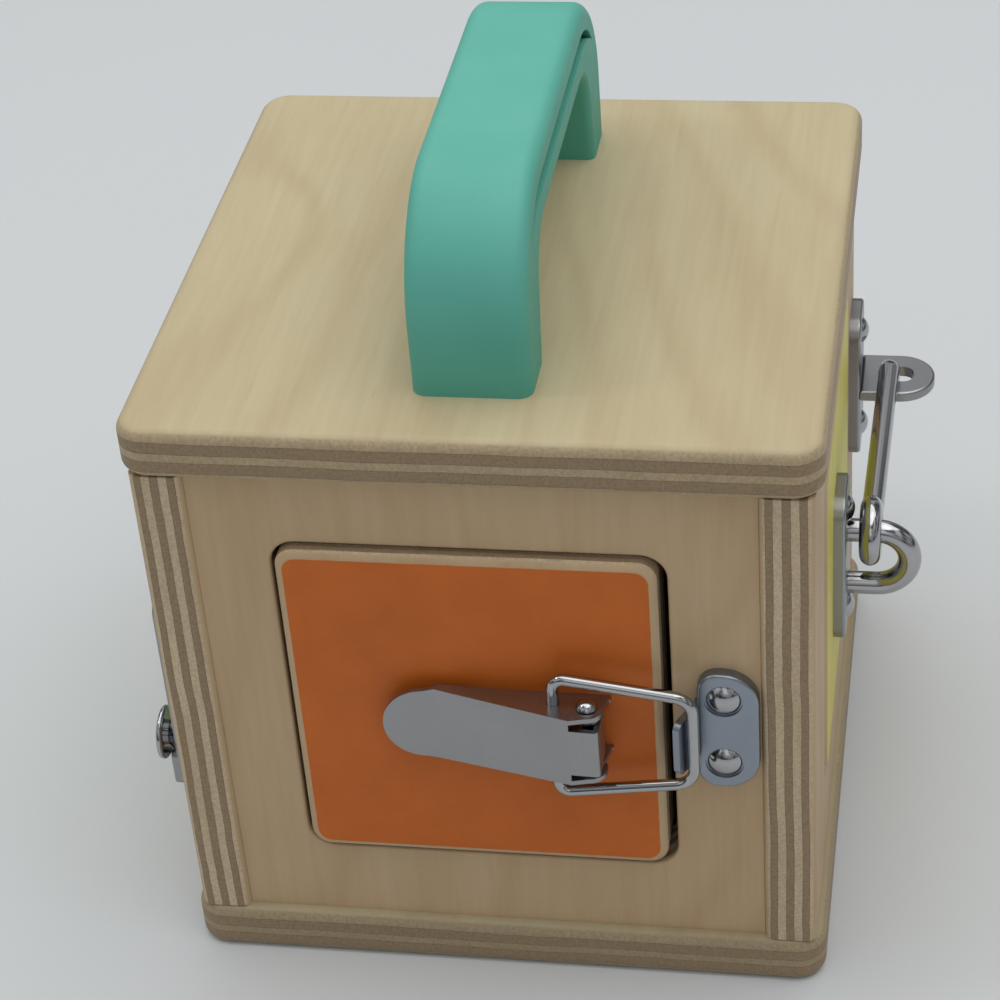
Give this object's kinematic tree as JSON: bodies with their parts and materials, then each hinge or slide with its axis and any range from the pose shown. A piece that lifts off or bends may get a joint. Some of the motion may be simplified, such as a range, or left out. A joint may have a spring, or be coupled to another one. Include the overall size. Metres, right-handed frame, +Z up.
{
  "type": "busy board",
  "caption": "Wooden busy board: a plywood lock box with a teal carrying handle and painted doors, each closed by a different metal latch.",
  "frame": {"origin": "middle of the flat underside", "axes": "+Z up, +X to the right as seen from the front, -Y towards the front with the orange door; the handle runs along Y"},
  "size_m": [0.1789, 0.1849, 0.1968],
  "materials": {
    "birch_plywood": "pale birch plywood, sanded, striped edges",
    "dowel_wood": "plain beech dowel",
    "handle_plastic": "moulded teal plastic, fine matt texture",
    "steel_pins": "plain steel",
    "orange_door": "plywood with an orange painted face inside a bare rounded rim",
    "yellow_door": "plywood with a yellow painted face inside a bare rounded rim",
    "blue_door": "plywood with a blue painted face inside a bare rounded rim (guessed)",
    "green_door": "plywood with a green painted face inside a bare rounded rim (guessed)",
    "satin_nickel": "satin nickel plate, fine grain",
    "polished_nickel": "polished nickel plate"
  },
  "bodies": {
    "box": {"base_board": "birch_plywood", "lid_board": "birch_plywood", "left_wall": "birch_plywood", "right_wall": "birch_plywood", "front_panel": "birch_plywood", "back_panel": "birch_plywood", "base_dowels": "dowel_wood", "lid_dowels": "dowel_wood", "handle": "handle_plastic", "handle_screws": "steel_pins", "front_door_pins": "steel_pins", "right_door_pins": "steel_pins", "back_door_pins": "steel_pins", "left_door_pins": "steel_pins", "strike_plate": "satin_nickel", "strike_rivets": "polished_nickel", "catch_plate": "satin_nickel", "catch_tab": "satin_nickel", "catch_plate_rivets": "polished_nickel", "swing_plate": "satin_nickel", "swing_plate_rivets": "polished_nickel", "swing_pin": "polished_nickel", "bolt_keeper": "satin_nickel", "bolt_keeper_rivets": "polished_nickel"},
    "front_door": {"front_door": "orange_door", "latch_base": "satin_nickel", "latch_base_rivets": "polished_nickel", "lever_pivot_pin": "polished_nickel"},
    "toggle_lever": {"latch_lever": "satin_nickel"},
    "toggle_bail": {"latch_bail": "polished_nickel"},
    "right_door": {"right_door": "yellow_door", "hook_plate": "satin_nickel", "hook_plate_rivets": "polished_nickel", "staple_ring": "polished_nickel"},
    "gate_hook": {"gate_hook": "polished_nickel"},
    "left_door": {"left_door": "green_door"},
    "swing_latch": {"swing_arm": "satin_nickel", "swing_knob": "polished_nickel"},
    "back_door": {"back_door": "blue_door", "bolt_plate": "satin_nickel", "bolt_plate_rivets": "polished_nickel"},
    "slide_bolt": {"bolt_rod": "polished_nickel", "bolt_knob": "polished_nickel"}
  },
  "joints": [
    {"name": "front_door_hinge", "type": "hinge", "parent": "box", "child": "front_door", "pos_m": [-0.03485, -0.07105, 0.0775], "axis": [0, 0, -1], "range_deg": [0, 100]},
    {"name": "toggle_lever_pivot", "type": "hinge", "parent": "front_door", "child": "toggle_lever", "pos_m": [0.0245, -0.08305, 0.0775], "axis": [0, 0, 1], "range_deg": [0, 115]},
    {"name": "toggle_bail_pivot", "type": "hinge", "parent": "toggle_lever", "child": "toggle_bail", "pos_m": [0.017, -0.08205, 0.0775], "axis": [0, 0, 1], "range_deg": [-145, 0]},
    {"name": "right_door_hinge", "type": "hinge", "parent": "box", "child": "right_door", "pos_m": [0.071, -0.03485, 0.0775], "axis": [0, 0, -1], "range_deg": [0, 90]},
    {"name": "gate_hook_pivot", "type": "hinge", "parent": "right_door", "child": "gate_hook", "pos_m": [0.0828, -0.0122, 0.08525], "axis": [1, 0, 0], "range_deg": [0, 95]},
    {"name": "left_door_hinge", "type": "hinge", "parent": "box", "child": "left_door", "pos_m": [-0.071, 0.03485, 0.0775], "axis": [0, 0, -1], "range_deg": [0, 100]},
    {"name": "swing_latch_pivot", "type": "hinge", "parent": "box", "child": "swing_latch", "pos_m": [-0.0781, -0.057, 0.0775], "axis": [1, 0, 0], "range_deg": [0, 90]},
    {"name": "back_door_hinge", "type": "hinge", "parent": "box", "child": "back_door", "pos_m": [0.03485, 0.07105, 0.0775], "axis": [0, 0, -1], "range_deg": [0, 100]},
    {"name": "slide_bolt_slide", "type": "slide", "parent": "back_door", "child": "slide_bolt", "axis": [-1, 0, 0], "range_m": [0, 0.016]}
  ],
  "couplings": [
    {"joint": "toggle_bail_pivot", "follows": "toggle_lever_pivot", "ratio": -1.25},
    {"joint": "gate_hook_pivot", "follows": "right_door_hinge", "ratio": 1.05}
  ]
}
